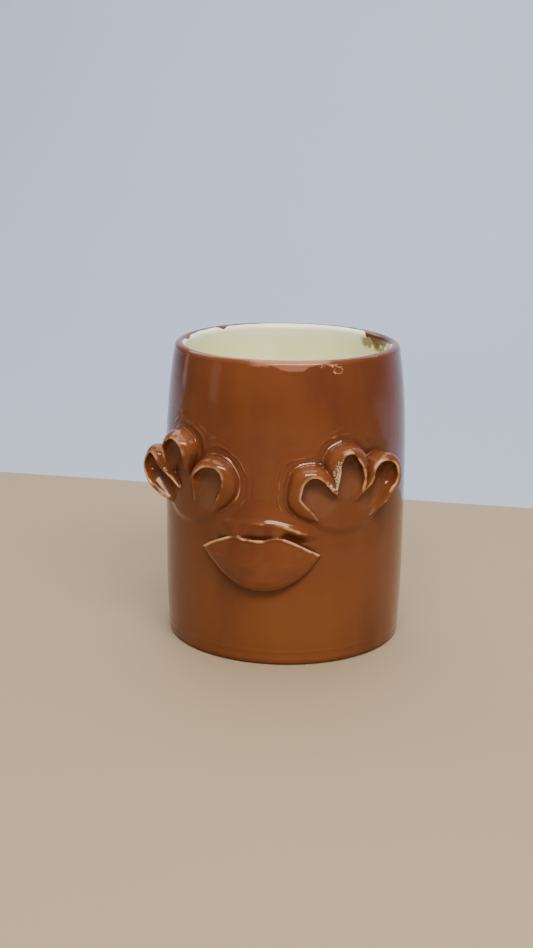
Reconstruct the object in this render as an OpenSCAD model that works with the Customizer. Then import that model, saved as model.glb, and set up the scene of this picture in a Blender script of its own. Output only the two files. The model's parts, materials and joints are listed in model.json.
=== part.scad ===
// Stoneware tumbler mug with an applied face: two eyes, each three curled
// petals fanned above a palm of clay, and a leaf-shaped mouth under a ridge.
// +Z is up, the face looks along -Y, and the origin is the foot's centre.

/* [Mug body] */
// Height from the foot to the crest of the lip
mug_h = 115.3; // [105:0.1:126]
// Outer radius at the belly, glaze included
belly_r = 46.75; // [44:0.05:50]
// Height of the belly's widest ring
belly_z = 42; // [36:1:48]
// How much narrower the foot is than the belly, on the radius
foot_drop = 1.25; // [0.5:0.05:2]
// How much narrower the lip is than the belly, on the radius
lip_drop = 3.7; // [2:0.1:5]
// Wall thickness, both glazes included
wall_t = 4.2; // [3.4:0.1:5]
// Height of the drinking floor above the table
floor_z = 6.4; // [5:0.1:8]
// Radius inside, where the wall runs into the floor
floor_fillet = 8; // [5:0.5:12]
// Inner radius of the foot ring
foot_ring_r = 37; // [33:0.5:40]
// Depth of the hollow inside the foot ring
foot_recess = 1.2; // [0.6:0.1:2]
// Height of the bevel under the foot's edge
foot_bevel = 0.9; // [0.6:0.1:1.2]

/* [Glaze] */
// Thickness of each glaze
glaze_t = 0.4; // [0.3:0.05:0.6]
// Height at which the amber glaze is wiped off above the foot
glaze_line = 1.2; // [1:0.1:3]
// How far the amber glaze rolls over the lip's crest, in degrees
lip_wrap = 25; // [0:5:60]

/* [Eyes] */
// Bearing of the inner, middle and outer curl from the face's middle
curl_bearing = [22.5, 36.6, 55.6]; // [20:0.1:58]
// Height of the three curls' centres
curl_z = [70, 77.3, 72.5]; // [68:0.1:80]
// Outer radius of the three curls
curl_r = [10.6, 8.6, 10.4]; // [8:0.1:11]
// Radius of the hollow in the three curls
hollow_r = [5.4, 4.3, 5.4]; // [4:0.1:6]
// Height of the three crests off the wall
crest_h = [5.6, 7.6, 9.6]; // [5:0.1:11]
// How much higher the three curls sit on the left eye
left_lift = [0.3, 3, -1.2]; // [-2:0.1:3]
// Bearing of the palm's centre
palm_bearing = 36.5; // [35:0.1:38]
// Height of the palm's centre
palm_z = 60.2; // [59:0.1:61]
// Half width and half height of the palm
palm_size = [15, 9.2]; // [9:0.1:16]
// Thickness of the clay floor in the curls and the palm
eye_floor = 1.7; // [1.2:0.1:2.2]

/* [Mouth] */
// Half width of the mouth, as a bearing
mouth_half = 26.5; // [24:0.5:28]
// Height of the mouth's two corners
mouth_corner_z = 44; // [43:0.1:45]
// Rise of the upper edge above the corners
mouth_rise = 7.9; // [7:0.1:9]
// Depth of the bow in the upper edge
mouth_bow = 2.8; // [1:0.1:3.2]
// Drop of the lower edge below the corners
mouth_drop = 14; // [12:0.1:15]
// Height of the mouth off the wall
mouth_t = 4.6; // [3.5:0.1:6]
// Height of the top of the ridge above the mouth
ridge_z = 57.2; // [56.5:0.1:58]
// Bearings of the two ends of that ridge
ridge_ends = [-16, 20.5]; // [-17:0.1:21]
// Height of that ridge off the wall
ridge_t = 2.6; // [1.5:0.1:3]
// Width of that ridge
ridge_w = 6.2; // [5:0.1:6.6]

/* [Hidden] */
$fn = 96;
INNER = 0;
MIDDLE = 1;
OUTER = 2;
PALM = 3;
LEFT = -1;
RIGHT = 1;
wall_steps = 22;      // bands in the wall's barrel curve
arc_steps = 8;        // chords in a quarter turn
ring_n = 60;          // points round each pressed piece of clay
seat_gap = 0.03;      // keeps the flat facets of a piece's back off the round wall
seam = 0.03;          // half the gap between neighbouring pieces of clay
crest_full = 60;      // degrees either side of a curl's direction at full height
crest_end = 156;      // degrees at which its crest has run down to the floor
undercut = 1.1;       // how far the hollow reaches under the crest
leg_reach = 0.9;      // how much longer the hollow is towards the palm
foot_reach = 0.4;     // how much farther a curl reaches towards the palm
lip_r = wall_t / 2;
lip_z = mug_h - lip_r;

function clamp01(x) = min(1, max(0, x));
function ease(x) = 0.5 - 0.5 * cos(180 * clamp01(x));
function mix(a, b, t) = a + (b - a) * t;

// ---- the turned profile ----

function outer_r(z) = z < belly_z
    ? belly_r - foot_drop * pow((belly_z - z) / belly_z, 3)
    : belly_r - lip_drop * pow((z - belly_z) / (mug_h - belly_z), 4);
function lip_centre() = [outer_r(lip_z) - lip_r, lip_z];
function arc(centre, r, from, to, n) =
    [for (i = [0 : n]) centre + r * [cos(mix(from, to, i / n)), sin(mix(from, to, i / n))]];
// The wall's two faces between two heights, moved into the clay by the depth d.
function outside(from, to, d) =
    [for (i = [0 : wall_steps]) let (z = mix(from, to, i / wall_steps)) [outer_r(z) - d, z]];
function inside(from, to, d) =
    [for (i = [0 : wall_steps]) let (z = mix(from, to, i / wall_steps)) [outer_r(z) - wall_t + d, z]];
function fillet_centre() =
    [outer_r(floor_z + floor_fillet) - wall_t - floor_fillet, floor_z + floor_fillet];
function floor_curve(d) = arc(fillet_centre(), floor_fillet + d, 0, -90, arc_steps);
function backwards(list) = [for (i = [len(list) - 1 : -1 : 0]) list[i]];

module turned(outline) {
    rotate_extrude() polygon(outline);
}

module clay_body() {
    color("tan") turned(concat(
        [[0, foot_recess], [foot_ring_r - foot_recess, foot_recess], [foot_ring_r, 0]],
        [[outer_r(0) - foot_bevel / 2, 0], [outer_r(foot_bevel) - glaze_t, foot_bevel]],
        outside(glaze_line, lip_z, glaze_t),
        arc(lip_centre(), lip_r - glaze_t, 15, 165, 2 * arc_steps),
        inside(lip_z, floor_z + floor_fillet + 1, glaze_t),
        floor_curve(glaze_t),
        [[0, floor_z - glaze_t]]
    ));
}

module amber_glaze() {
    wrap = 90 + lip_wrap;
    color("saddlebrown") turned(concat(
        outside(glaze_line, lip_z, 0),
        arc(lip_centre(), lip_r, 15, wrap, arc_steps),
        arc(lip_centre(), lip_r - glaze_t, wrap, 15, arc_steps),
        outside(lip_z, glaze_line, glaze_t)
    ));
}

module cream_glaze() {
    wrap = 90 + lip_wrap;
    color("cornsilk") turned(concat(
        arc(lip_centre(), lip_r, wrap, 165, arc_steps),
        inside(lip_z, floor_z + floor_fillet + 1, 0),
        floor_curve(0),
        [[0, floor_z], [0, floor_z - glaze_t]],
        backwards(floor_curve(glaze_t)),
        backwards(inside(lip_z, floor_z + floor_fillet + 1, glaze_t)),
        arc(lip_centre(), lip_r - glaze_t, 165, wrap, arc_steps)
    ));
}

// ---- clay pressed on the wall ----

// A point at the arc length u from the face's middle, at height z, and w off the wall.
function arc_of(bearing) = bearing * PI / 180 * belly_r;
function on_wall(u, z, w) =
    let (bearing = u / belly_r * 180 / PI, r = outer_r(z) + w + seat_gap)
    [r * sin(bearing), -r * cos(bearing), z];

// A closed solid over a stack of rings with the same count of points, from the
// middle of its front to the middle of its back.
module ringed(front, rings, back) {
    n = len(rings[0]);
    last = len(rings) - 1;
    points = concat([front], [for (ring = rings, p = ring) p], [back]);
    function at(k, i) = 1 + k * n + i % n;
    faces = concat(
        [for (i = [0 : n - 1]) [0, at(0, i), at(0, i + 1)]],
        [for (k = [0 : last - 1], i = [0 : n - 1]) [at(k, i), at(k + 1, i), at(k, i + 1)]],
        [for (k = [0 : last - 1], i = [0 : n - 1]) [at(k, i + 1), at(k + 1, i), at(k + 1, i + 1)]],
        [for (i = [0 : n - 1]) [at(last, i + 1), at(last, i), len(points) - 1]]
    );
    polyhedron(points = points, faces = faces, convexity = 6);
}

// A closed solid through a row of sections with the same count of points.
module swept(sections) {
    n = len(sections[0]);
    last = len(sections) - 1;
    points = [for (section = sections, p = section) p];
    function at(k, i) = k * n + i % n;
    faces = concat(
        [[for (i = [0 : n - 1]) at(0, i)]],
        [for (k = [0 : last - 1], i = [0 : n - 1]) [at(k, i), at(k + 1, i), at(k, i + 1)]],
        [for (k = [0 : last - 1], i = [0 : n - 1]) [at(k, i + 1), at(k + 1, i), at(k + 1, i + 1)]],
        [[for (i = [n - 1 : -1 : 0]) at(last, i)]]
    );
    polyhedron(points = points, faces = faces, convexity = 6);
}

// Centre of one of an eye's four cells, unrolled: [arc length, height].
function cell_centre(side, k) = k == PALM
    ? [side * arc_of(palm_bearing), palm_z]
    : [side * arc_of(curl_bearing[k]), curl_z[k] + (side == LEFT ? left_lift[k] : 0)];
// Size that shares out the clay between neighbouring cells.
function cell_size(k) = k == PALM ? palm_size[1] : curl_r[k];
// How far cell k reaches before it meets cell j.
function meeting(side, k, j, a) =
    let (
        v = cell_centre(side, j) - cell_centre(side, k),
        share = cell_size(k) / (cell_size(k) + cell_size(j)),
        along = (v * [cos(a), sin(a)]) / norm(v)
    )
    along > 0.05 ? share * norm(v) / along - seam : 100;

// Direction in which a curl points, away from the palm.
function curl_direction(side, k) =
    let (v = cell_centre(side, k) - cell_centre(side, PALM)) atan2(v[1], v[0]);
// Degrees between the direction a and the way the curl points.
function turn(side, k, a) = abs((a - curl_direction(side, k) + 900) % 360 - 180);
// How far the curl lies open towards the palm in that direction, from 0 to 1.
function opening(t) = ease((t - crest_full) / (crest_end - crest_full));

// How far a cell would reach in the direction a if it had no neighbours, and
// how far it does reach.
function own_reach(side, k, a) = k == PALM
    ? 1 / sqrt(pow(cos(a) / palm_size[0], 2) + pow(sin(a) / palm_size[1], 2))
    : curl_r[k] * (1 + foot_reach * opening(turn(side, k, a)));
function reach(side, k, a) = min(
    [own_reach(side, k, a), for (j = [INNER : PALM]) if (j != k) meeting(side, k, j, a)]);

// Section of a curl in the direction a, from its hollow over the crest to its
// foot and back under it: [distance from the centre, height off the wall].
function curl_section(side, k, a) =
    let (
        open = opening(turn(side, k, a)),
        h = mix(crest_h[k], eye_floor, open),
        out = reach(side, k, a),
        edge = min(hollow_r[k] * (1 + leg_reach * open), out - 1.2),
        hood = undercut * (1 - open),
        bank = out - edge,
        shed = h - eye_floor * 0.9 * open
    )
    [
        [edge * 0.5, eye_floor],
        [edge * 0.85, eye_floor],
        [edge + hood * 0.6, mix(eye_floor, h, 0.16)],
        [edge + hood, mix(eye_floor, h, 0.5)],
        [edge, h],
        [edge + bank * 0.3, h - shed * 0.03],
        [edge + bank * 0.62, h - shed * 0.2],
        [edge + bank * 0.86, h - shed * 0.5],
        [out, h - shed * 0.85],
        [out, 0],
        [out * 0.67, 0],
        [out * 0.33, 0]
    ];

module curl(side, k) {
    centre = cell_centre(side, k);
    angles = [for (i = [0 : ring_n - 1]) -360 * i / ring_n];
    sections = [for (a = angles) curl_section(side, k, a)];
    rings = [for (j = [0 : len(sections[0]) - 1]) [for (i = [0 : ring_n - 1])
        let (a = angles[i], s = sections[i][j])
        on_wall(centre[0] + s[0] * cos(a), centre[1] + s[0] * sin(a), s[1])]];
    color("sienna") ringed(
        on_wall(centre[0], centre[1], eye_floor), rings, on_wall(centre[0], centre[1], 0));
}

// The pad that the three curls grow from. It is level with their floors, and
// thins out where no curl joins it.
module palm(side) {
    centre = cell_centre(side, PALM);
    // Share of the way to the edge, height there beside a curl, height there elsewhere.
    steps = [
        [0.3, 1, 1], [0.55, 1, 0.97], [0.78, 1, 0.86], [0.92, 1, 0.66], [1, 1, 0.35],
        [1, 0, 0], [0.67, 0, 0], [0.33, 0, 0]
    ];
    rings = [for (s = steps) [for (i = [0 : ring_n - 1])
        let (
            a = -360 * i / ring_n,
            r = reach(side, PALM, a),
            free = ease((r / own_reach(side, PALM, a) - 0.85) / 0.15)
        )
        on_wall(centre[0] + r * s[0] * cos(a), centre[1] + r * s[0] * sin(a),
            eye_floor * mix(s[1], s[2], free))]];
    color("sienna") ringed(
        on_wall(centre[0], centre[1], eye_floor), rings, on_wall(centre[0], centre[1], 0));
}

module eye_piece(side, k) {
    if (k == PALM) palm(side);
    else curl(side, k);
}

// Upper and lower edge of the mouth at the share x of its half width.
function mouth_top(x) =
    mouth_corner_z + mouth_rise * (1 - pow(abs(x), 1.9)) - mouth_bow * exp(-pow(x / 0.19, 2));
function mouth_bottom(x) = mouth_corner_z - mouth_drop * (1 - x * x);

// The mouth. Its upper edge is the sharp one, and its lower edge overhangs.
module mouth_leaf() {
    half_u = arc_of(mouth_half);
    centre = [0, mouth_corner_z - 2];
    half_n = 24;
    // Cosine spacing sets more points near the two corners.
    upper = [for (i = [0 : half_n - 1]) let (x = -cos(180 * i / half_n)) [x * half_u, mouth_top(x)]];
    lower = [for (i = [0 : half_n - 1]) let (x = cos(180 * i / half_n)) [x * half_u, mouth_bottom(x)]];
    outline = concat(upper, lower);
    // Share of the way to the outline, and share of the mouth's height off the wall.
    steps = [
        [0.3, 1], [0.6, 1], [0.85, 1], [0.97, 0.97], [1, 0.8], [0.98, 0.3], [0.95, 0],
        [0.75, 0], [0.5, 0], [0.25, 0]
    ];
    rings = [for (s = steps) [for (p = outline)
        let (q = mix(centre, p, s[0])) on_wall(q[0], q[1], mouth_t * s[1])]];
    color("peru") ringed(
        on_wall(centre[0], centre[1], mouth_t), rings, on_wall(centre[0], centre[1], 0));
}

// Low arched ridge over the mouth, from palm to palm.
module lip_ridge() {
    ends = [for (b = ridge_ends) arc_of(b)];
    stations = 20;
    droop = 2.9;
    section = [for (i = [0 : 8]) [-cos(180 * i / 8), sin(180 * i / 8)]];
    sections = [for (s = [0 : stations])
        let (
            x = mix(-1, 1, s / stations),
            u = mix(ends[0], ends[1], s / stations),
            z = ridge_z - droop * x * x,
            size = 0.2 + 0.8 * pow(cos(88 * x), 0.6)
        )
        concat(
            [for (q = section) on_wall(u, z + q[0] * ridge_w / 2 * size, ridge_t * size * q[1])],
            [on_wall(u, z, 0)]
        )];
    color("sienna") swept(sections);
}

clay_body();
amber_glaze();
cream_glaze();
eye_piece(LEFT, PALM);  // left_eye_palm
eye_piece(LEFT, INNER);  // left_eye_inner_curl
eye_piece(LEFT, MIDDLE);  // left_eye_middle_curl
eye_piece(LEFT, OUTER);  // left_eye_outer_curl
eye_piece(RIGHT, PALM);  // right_eye_palm
eye_piece(RIGHT, INNER);  // right_eye_inner_curl
eye_piece(RIGHT, MIDDLE);  // right_eye_middle_curl
eye_piece(RIGHT, OUTER);  // right_eye_outer_curl
mouth_leaf();
lip_ridge();
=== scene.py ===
"""Glazed stoneware tumbler mug with a face in applied clay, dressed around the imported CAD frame.

Shapes are worked out in millimetres. On the wall they are laid out unrolled: u runs round it from the
middle of the face (+u on a viewer's right), z is the height, and w is the height off the wall.
"""

import json
import math

import bmesh
import bpy
import numpy as np
import openvdb
from mathutils import Matrix, Vector


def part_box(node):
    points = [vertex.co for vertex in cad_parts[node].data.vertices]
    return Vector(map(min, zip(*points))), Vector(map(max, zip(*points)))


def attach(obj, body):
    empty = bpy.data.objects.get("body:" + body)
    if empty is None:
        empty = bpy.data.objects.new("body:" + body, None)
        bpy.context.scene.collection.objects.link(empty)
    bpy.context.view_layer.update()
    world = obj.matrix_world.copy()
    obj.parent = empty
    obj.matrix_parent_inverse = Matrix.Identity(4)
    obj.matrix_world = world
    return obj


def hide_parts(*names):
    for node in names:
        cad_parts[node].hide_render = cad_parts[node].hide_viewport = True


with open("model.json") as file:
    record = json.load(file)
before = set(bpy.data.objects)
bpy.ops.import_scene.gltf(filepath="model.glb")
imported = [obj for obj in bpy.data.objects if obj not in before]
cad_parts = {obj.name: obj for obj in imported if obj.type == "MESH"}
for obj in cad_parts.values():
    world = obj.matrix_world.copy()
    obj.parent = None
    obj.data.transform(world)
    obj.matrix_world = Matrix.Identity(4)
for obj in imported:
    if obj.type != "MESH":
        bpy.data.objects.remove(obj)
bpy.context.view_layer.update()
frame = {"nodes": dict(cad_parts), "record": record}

MM = 1000.0  # millimetres in a metre
VOXEL = 0.27  # mm, of the relief's grid
SEGMENTS = 420  # round the mug
FIT_DEGREE = 9  # of the curves through the wall's radii


# ------------------------------ measures read from the frame

def node_points(node):
    """A CAD node's vertices in mm."""
    mesh = frame["nodes"][node].data
    co = np.empty(len(mesh.vertices) * 3)
    mesh.vertices.foreach_get("co", co)
    return co.reshape(-1, 3) * MM


def fitted_radius(node, pick, low, high):
    """A smooth curve through the turned node's outermost or innermost radius at each height."""
    points = node_points(node)
    z = np.round(points[:, 2], 2)
    r = np.hypot(points[:, 0], points[:, 1])
    heights = [h for h in np.unique(z) if low <= h <= high]
    radii = [pick(r[z == h]) for h in heights]
    return np.polynomial.Chebyshev.fit(heights, radii, FIT_DEGREE)


def anchor(node):
    """Middle of a CAD node's box on the unrolled wall."""
    x, y, z = node_points(node).T
    u = np.arctan2(x, -y) * BELLY_R
    return np.array([(u.min() + u.max()) / 2, (z.min() + z.max()) / 2])


BELLY_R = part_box("amber_glaze")[1].x * MM
MUG_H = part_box("amber_glaze")[1].z * MM
GLAZE_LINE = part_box("amber_glaze")[0].z * MM
FLOOR_Z = next(m for m in frame["record"]["mounts"] if m["name"] == "well_floor")["pos_m"][2] * MM
GLAZE_T = 0.4  # both glazes
LIP_R = 2.1  # the lip is a half-round of this radius
LIP_Z = MUG_H - LIP_R
FLOOR_FILLET = 8.0  # inside, where the wall meets the floor
outer_fit = fitted_radius("amber_glaze", max, GLAZE_LINE, LIP_Z + 0.01)
inner_fit = fitted_radius("cream_glaze", min, FLOOR_Z + FLOOR_FILLET, LIP_Z + 0.01)
LIP_C = (outer_fit(LIP_Z) + inner_fit(LIP_Z)) / 2
foot_ring = node_points("clay_body")
foot_ring = np.hypot(*foot_ring[foot_ring[:, 2] < 0.01, :2].T)
FOOT_OUT = foot_ring.max()
FOOT_IN = foot_ring.min()


def wall_r(z):
    return outer_fit(np.clip(z, GLAZE_LINE, LIP_Z))


def on_wall(u, z, w):
    bearing = u / BELLY_R
    r = wall_r(z) + w
    return np.stack([r * np.sin(bearing), -r * np.cos(bearing), z], -1)


def thrown(points):
    """The small unevenness of a hand-thrown pot, given to every piece alike: mm in, mm out.
    ripple is the rings that the fingers left, oval is out of round, and lift is the lip's rise and fall."""
    x, y, z = points.T
    r = np.hypot(x, y)
    bearing = np.arctan2(x, -y)
    up = np.clip(z / MUG_H, 0, 1)
    inner = np.clip((r - 20) / 15, 0, 1)
    ripple = (0.030 * np.sin(z * 0.83 + 0.8 * np.sin(bearing + 0.4))
              + 0.028 * np.sin(z * 0.47 + 1.3 + 0.6 * np.sin(2 * bearing))
              + 0.014 * np.sin(z * 1.37 + 2.0 * np.sin(bearing - 1.1)))
    ripple = 0.45 * ripple * np.clip(z / 6, 0, 1) * np.clip((MUG_H - z) / 8, 0, 1)
    oval = (0.22 * np.cos(2 * bearing + 0.9) + 0.10 * np.cos(3 * bearing - 0.5)) * up
    lift = (0.16 * np.sin(bearing + 2.0) + 0.12 * np.sin(2 * bearing + 0.3)
            + 0.07 * np.sin(5 * bearing + 1.0)) * up ** 6
    grow = 1 + inner * (ripple + oval) / np.maximum(r, 1)
    return np.stack([x * grow, y * grow, z + lift], 1)


# ------------------------------ meshes

def make_object(name, verts_mm, faces):
    mesh = bpy.data.meshes.new(name)
    faces = np.asarray(faces, np.int32)
    mesh.vertices.add(len(verts_mm))
    mesh.vertices.foreach_set("co", (thrown(verts_mm) / MM).astype(np.float32).ravel())
    mesh.loops.add(faces.size)
    mesh.loops.foreach_set("vertex_index", faces.ravel())
    mesh.polygons.add(len(faces))
    mesh.polygons.foreach_set("loop_start", np.arange(0, faces.size, faces.shape[1], dtype=np.int32))
    mesh.update(calc_edges=True)
    mesh.polygons.foreach_set("use_smooth", np.ones(len(mesh.polygons), bool))
    obj = bpy.data.objects.new(name, mesh)
    bpy.context.scene.collection.objects.link(obj)
    return obj


def turned(name, profile, closes):
    """Turns a profile round Z. It has one row of (r, z) per point, and a column of those for each bearing.
    The profile is a loop, or it runs from the axis to the axis, where its ends are welded."""
    bearings = np.linspace(-math.pi, math.pi, SEGMENTS, endpoint=False)
    if profile.ndim == 2:
        profile = np.repeat(profile[:, None, :], SEGMENTS, 1)
    r, z = profile[..., 0], profile[..., 1]
    points = np.stack([r * np.sin(bearings), -r * np.cos(bearings), z], -1).reshape(-1, 3)
    rows = len(profile)
    i, j = np.meshgrid(np.arange(rows if closes else rows - 1), np.arange(SEGMENTS), indexing="ij")
    k, m = (i + 1) % rows, (j + 1) % SEGMENTS
    faces = np.stack([i, k, k, i], -1) * SEGMENTS + np.stack([j, j, m, m], -1)
    obj = make_object(name, points, faces.reshape(-1, 4))
    bm = bmesh.new()
    bm.from_mesh(obj.data)
    if not closes:
        bmesh.ops.remove_doubles(bm, verts=[v for v in bm.verts if v.co.xy.length < 1e-5], dist=1e-5)
    bmesh.ops.recalc_face_normals(bm, faces=bm.faces)
    bm.to_mesh(obj.data)
    bm.free()
    return obj


def arc(centre, radius, start, end, count):
    """Points (r, z) of an arc, angles in degrees from +r towards +z."""
    a = np.radians(np.linspace(start, end, count))
    return np.stack([centre[0] + radius * np.cos(a), centre[1] + radius * np.sin(a)], 1)


def line(start, end, count):
    t = np.linspace(0, 1, count)[:, None]
    return np.asarray(start) * (1 - t) + np.asarray(end) * t


def wall_line(fit, offset, low, high, step):
    """Points (r, z) up or down the wall, offset outwards from its fitted radius."""
    z = np.linspace(low, high, max(2, int(abs(high - low) / step)))
    return np.stack([fit(np.clip(z, GLAZE_LINE, LIP_Z)) + offset, z], 1)


# ------------------------------ relief: a solid worked out on a grid

def smooth_min(a, b, k):
    h = np.clip(0.5 + 0.5 * (b - a) / k, 0, 1)
    return b + (a - b) * h - k * h * (1 - h)


def smooth_max(a, b, k):
    return -smooth_min(-a, -b, k)


def ease(x):
    x = np.clip(x, 0, 1)
    return x * x * (3 - 2 * x)


def bell(x, width):
    return np.exp(-(x / width) ** 2)


def hermite(x, y, at):
    """A smooth curve through (x, y) with x rising, read at the places given."""
    slope = np.gradient(y, x, axis=0)
    i = np.clip(np.searchsorted(x, at) - 1, 0, len(x) - 2)
    span = (x[i + 1] - x[i])[:, None]
    t = ((at - x[i])[:, None]) / span
    return ((1 + 2 * t) * (1 - t) ** 2 * y[i] + t * (1 - t) ** 2 * span * slope[i]
            + t ** 2 * (3 - 2 * t) * y[i + 1] + t ** 2 * (t - 1) * span * slope[i + 1])


def around(rows, theta):
    """Reads a table whose first column is an angle in degrees. theta is in radians: one array a column."""
    rows = np.array(sorted(rows), float)
    full_turn = [360] + [0] * (rows.shape[1] - 1)
    three = np.vstack([rows - full_turn, rows, rows + full_turn])
    fine = np.arange(-182, 183)
    table = hermite(three[:, 0], three[:, 1:], fine.astype(float))
    return [np.interp(np.degrees(theta), fine, column) for column in table.T]


def curve_through(points, step=0.4):
    """A smooth open line through points of any number of columns, spaced by the first two."""
    points = np.array(points, float)
    run = np.r_[0, np.cumsum(np.hypot(*np.diff(points[:, :2], axis=0).T))]
    return hermite(run, points, np.linspace(0, run[-1], int(run[-1] / step) + 2))


def nearest_on(path, u, z):
    """For each (u, z): the distance to a polyline, and its other columns at the nearest point."""
    best = np.full(u.shape, np.inf)
    extra = np.zeros(u.shape + (path.shape[1] - 2,))
    for a, b in zip(path, path[1:]):
        e = b[:2] - a[:2]
        t = np.clip(((u - a[0]) * e[0] + (z - a[1]) * e[1]) / max(e @ e, 1e-9), 0, 1)
        d = (u - a[0] - t * e[0]) ** 2 + (z - a[1] - t * e[1]) ** 2
        closer = d < best
        best[closer] = d[closer]
        extra[closer] = a[2:] + t[closer, None] * (b[2:] - a[2:])
    return np.sqrt(best), extra


def signed_outline(outline, u, z):
    """Distance to a closed outline, negative inside it."""
    distance, _ = nearest_on(np.vstack([outline, outline[:1]]), u, z)
    inside = np.zeros(u.shape, bool)
    for a, b in zip(outline, np.roll(outline, -1, 0)):
        if a[1] != b[1]:
            crosses = (a[1] > z) != (b[1] > z)
            inside ^= crosses & (u < a[0] + (z - a[1]) * (b[0] - a[0]) / (b[1] - a[1]))
    return np.where(inside, -distance, distance)


def section_distance(d, w, corners):
    """Distance in the (d, w) plane to a section, negative inside. Its corners may differ by column."""
    d, w = d[:, None].astype(np.float32), w[None, :].astype(np.float32)
    corners = [[np.broadcast_to(c, d.shape[:1]).astype(np.float32)[:, None] for c in pair]
               for pair in corners]
    best = np.full((d.shape[0], w.shape[1]), 1e9, np.float32)
    inside = np.zeros(best.shape, bool)
    for (ad, aw), (bd, bw) in zip(corners, corners[1:] + corners[:1]):
        ed, ew = bd - ad, bw - aw
        t = np.clip(((d - ad) * ed + (w - aw) * ew) / np.maximum(ed * ed + ew * ew, 1e-6), 0, 1)
        best = np.minimum(best, (d - ad - t * ed) ** 2 + (w - aw - t * ew) ** 2)
        crosses = (aw > w) != (bw > w)
        inside ^= crosses & (d < ad + (w - aw) * ed / np.where(np.abs(ew) < 1e-6, 1e-6, ew))
    return np.where(inside, -1, 1) * np.sqrt(best)


def blur(field, sigma):
    """Gaussian blur of a grid by sigma mm, one axis after another."""
    reach = max(1, round(2.6 * sigma / VOXEL))
    taps = np.exp(-0.5 * (np.arange(-reach, reach + 1) * VOXEL / sigma) ** 2)
    taps = (taps / taps.sum()).astype(np.float32)
    for axis in range(3):
        size = field.shape[axis]
        padded = np.pad(field, [(reach, reach) if a == axis else (0, 0) for a in range(3)], "edge")
        total = np.zeros_like(field)
        for k, tap in enumerate(taps):
            window = [slice(None)] * 3
            window[axis] = slice(k, k + size)
            total += tap * padded[tuple(window)]
        field = total
    return field


def sample(field, index):
    """Reads a grid between its points, at fractional indices."""
    index = np.clip(index, 0, np.array(field.shape) - 1.001)
    base = index.astype(int)
    f = index - base
    value = 0.0
    for corner in range(8):
        bit = np.array([corner & 1, corner >> 1 & 1, corner >> 2 & 1])
        i, j, k = (base + bit).T
        value = value + np.prod(np.where(bit, f, 1 - f), 1) * field[i, j, k]
    return value


def sample_flat(values, index):
    """Reads an array over (u, z) at fractional grid indices, at any height."""
    return sample(values[..., None] * np.ones(2), index * [1, 1, 0])


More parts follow.
